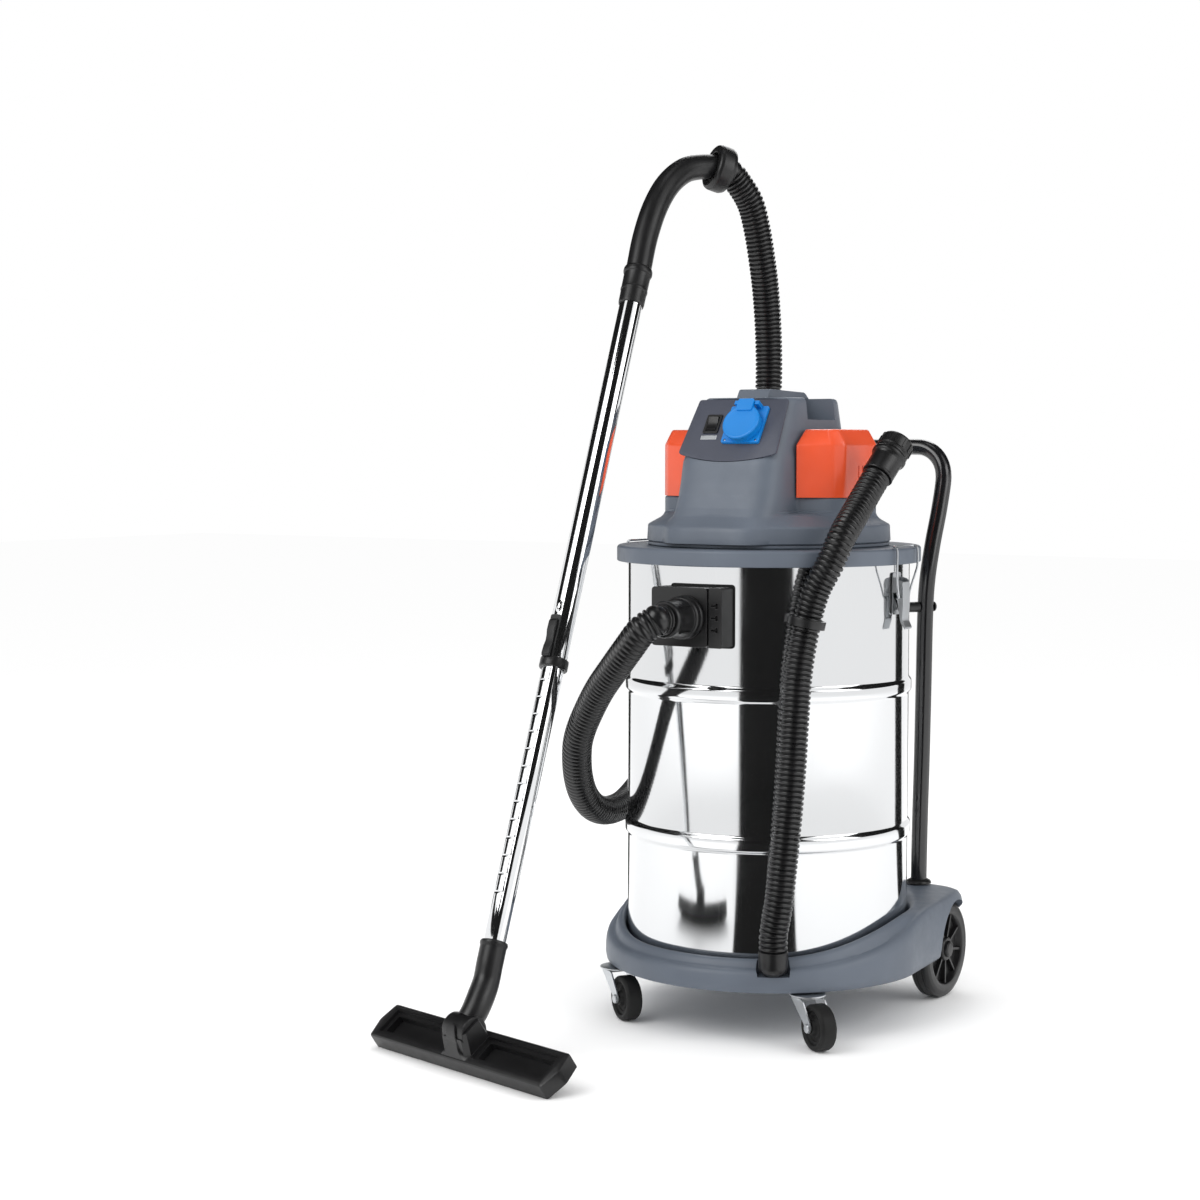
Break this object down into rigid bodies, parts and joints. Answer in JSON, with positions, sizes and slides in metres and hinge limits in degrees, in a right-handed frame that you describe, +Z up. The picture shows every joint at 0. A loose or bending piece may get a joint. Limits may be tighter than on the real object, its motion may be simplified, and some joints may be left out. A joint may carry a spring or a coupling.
{
  "type": "shop vacuum",
  "caption": "Wet and dry shop vacuum: polished steel tank on a wheeled tray, slate motor head with orange covers, push handle, drain hose, suction hose, telescopic wand and floor tool.",
  "frame": {"origin": "on the floor, under the middle of the whole object's box, hoses left out", "axes": "+Z up, front of the machine and its hose inlet towards -Y, +X to the machine's right as seen from the front"},
  "size_m": [0.5938, 0.9457, 1.3256],
  "materials": {
    "polished_steel": "mirror polished stainless sheet with faint vertical drawing marks",
    "zinc_plate": "satin zinc plate",
    "chrome": "bright chrome plated tube",
    "slate_plastic": "fine spark-eroded grain, satin",
    "panel_plastic": "fine grain, satin",
    "orange_plastic": "smooth, soft gloss",
    "blue_plastic": "smooth satin",
    "black_plastic": "smooth satin",
    "hose_plastic": "ribbed, satin",
    "black_paint": "gloss powder coat",
    "rubber": "matt",
    "filter_fabric": "needled felt"
  },
  "bodies": {
    "main_body": {"axle_cap_left": "black_plastic", "axle_cap_right": "black_plastic", "base_tray": "slate_plastic", "carry_handle": "slate_plastic", "caster_plate_left": "zinc_plate", "caster_plate_right": "zinc_plate", "control_panel": "panel_plastic", "curved_grip": "black_plastic", "drain_clip": "black_plastic", "drain_cuff": "black_plastic", "drain_elbow": "black_plastic", "drain_hose": "hose_plastic", "filter_cartridge": "filter_fabric", "float_cage": "black_plastic", "handle_bolt_left": "black_plastic", "handle_bolt_right": "black_plastic", "handle_spacer_left": "black_plastic", "handle_spacer_right": "black_plastic", "head_cover": "slate_plastic", "head_ring": "slate_plastic", "hose_connector": "black_plastic", "inlet_housing": "black_plastic", "latch_bracket_left": "zinc_plate", "latch_bracket_right": "zinc_plate", "motor_plate": "black_plastic", "motor_unit": "zinc_plate", "push_handle": "black_paint", "rear_axle": "zinc_plate", "side_cover_left": "orange_plastic", "side_cover_right": "orange_plastic", "socket_base": "blue_plastic", "suction_hose": "hose_plastic", "switch_bezel": "black_plastic", "tank": "polished_steel", "tank_seal": "rubber", "telescope_collar": "black_plastic", "wand_adapter": "black_plastic", "wand_outer_tube": "chrome"},
    "caster_left": {"caster_fork_left": "zinc_plate", "caster_axle_left": "zinc_plate"},
    "caster_roller_left": {"caster_wheel_left": "rubber"},
    "caster_right": {"caster_fork_right": "zinc_plate", "caster_axle_right": "zinc_plate"},
    "caster_roller_right": {"caster_wheel_right": "rubber"},
    "rear_roller_left": {"rear_wheel_left": "black_plastic"},
    "rear_roller_right": {"rear_wheel_right": "black_plastic"},
    "latch_left": {"latch_lever_left": "zinc_plate"},
    "bail_left": {"latch_bail_left": "zinc_plate"},
    "latch_right": {"latch_lever_right": "zinc_plate"},
    "bail_right": {"latch_bail_right": "zinc_plate"},
    "lid": {"socket_lid": "blue_plastic"},
    "rocker": {"switch_rocker": "black_plastic"},
    "button": {"telescope_button": "black_plastic"},
    "lower_wand": {"wand_inner_tube": "chrome", "tool_neck": "black_plastic"},
    "tool": {"floor_tool": "black_plastic", "floor_tool_sole": "rubber"},
    "cap": {"drain_cap": "black_plastic"},
    "cuff": {"swivel_cuff": "black_plastic"},
    "ball": {"float_ball": "blue_plastic"}
  },
  "joints": [
    {"name": "caster_swivel_left", "type": "hinge", "parent": "main_body", "child": "caster_left", "pos_m": [-0.1061, -0.0212, 0.0686], "axis": [0, 0, 1], "continuous": true},
    {"name": "caster_roll_left", "type": "hinge", "parent": "caster_left", "child": "caster_roller_left", "pos_m": [-0.0784, -0.0392, 0.033], "axis": [0.5446, 0.8387, 0], "continuous": true},
    {"name": "caster_swivel_right", "type": "hinge", "parent": "main_body", "child": "caster_right", "pos_m": [0.2139, -0.0212, 0.0686], "axis": [0, 0, 1], "continuous": true},
    {"name": "caster_roll_right", "type": "hinge", "parent": "caster_right", "child": "caster_roller_right", "pos_m": [0.2416, -0.0392, 0.033], "axis": [0.5446, 0.8387, 0], "continuous": true},
    {"name": "rear_roll_left", "type": "hinge", "parent": "main_body", "child": "rear_roller_left", "pos_m": [-0.1341, 0.3538, 0.074], "axis": [1, 0, 0], "continuous": true},
    {"name": "rear_roll_right", "type": "hinge", "parent": "main_body", "child": "rear_roller_right", "pos_m": [0.2419, 0.3538, 0.074], "axis": [1, 0, 0], "continuous": true},
    {"name": "latch_open_left", "type": "hinge", "parent": "main_body", "child": "latch_left", "pos_m": [-0.1696, 0.1468, 0.647], "axis": [0, 1, 0], "range_deg": [0, 150]},
    {"name": "bail_swing_left", "type": "hinge", "parent": "latch_left", "child": "bail_left", "pos_m": [-0.1696, 0.1468, 0.629], "axis": [0, 1, 0], "range_deg": [-150, 0]},
    {"name": "latch_open_right", "type": "hinge", "parent": "main_body", "child": "latch_right", "pos_m": [0.2774, 0.1468, 0.647], "axis": [0, -1, 0], "range_deg": [0, 150]},
    {"name": "bail_swing_right", "type": "hinge", "parent": "latch_right", "child": "bail_right", "pos_m": [0.2774, 0.1468, 0.629], "axis": [0, -1, 0], "range_deg": [-150, 0]},
    {"name": "socket_lid_hinge", "type": "hinge", "parent": "main_body", "child": "lid", "pos_m": [0.0719, 0.0485, 0.9073], "axis": [-1, 0, 0], "range_deg": [0, 100], "stiffness_Nm_per_rad": 0.03, "springref_deg": -17.19},
    {"name": "switch_rock", "type": "hinge", "parent": "main_body", "child": "rocker", "pos_m": [0.0159, 0.0473, 0.8788], "axis": [1, 0, 0], "range_deg": [-10, 0]},
    {"name": "telescope_release", "type": "slide", "parent": "main_body", "child": "button", "axis": [-0.0548, 0.4365, 0.898], "range_m": [0, 0.008], "stiffness_N_per_m": 300, "springref_m": -0.002},
    {"name": "telescope_slide", "type": "slide", "parent": "main_body", "child": "lower_wand", "axis": [-0.0548, 0.4365, 0.898], "range_m": [0, 0.36]},
    {"name": "floor_tool_tilt", "type": "hinge", "parent": "lower_wand", "child": "tool", "pos_m": [-0.1129, -0.3956, 0.0557], "axis": [0.9707, -0.2402, 0], "range_deg": [-35, 5]},
    {"name": "drain_cap_turn", "type": "hinge", "parent": "main_body", "child": "cap", "pos_m": [0.2711, 0.1246, 0.8443], "axis": [0.152, 0.6791, 0.7181], "continuous": true},
    {"name": "hose_cuff_swivel", "type": "hinge", "parent": "main_body", "child": "cuff", "pos_m": [-0.1371, 0.3268, 1.287], "axis": [0.5711, 0.7715, -0.2805], "continuous": true},
    {"name": "float_ball_lift", "type": "slide", "parent": "main_body", "child": "ball", "axis": [0, 0, 1], "range_m": [0, 0.05]}
  ],
  "couplings": [
    {"joint": "bail_swing_left", "follows": "latch_open_left", "ratio": -1},
    {"joint": "bail_swing_right", "follows": "latch_open_right", "ratio": -1}
  ]
}
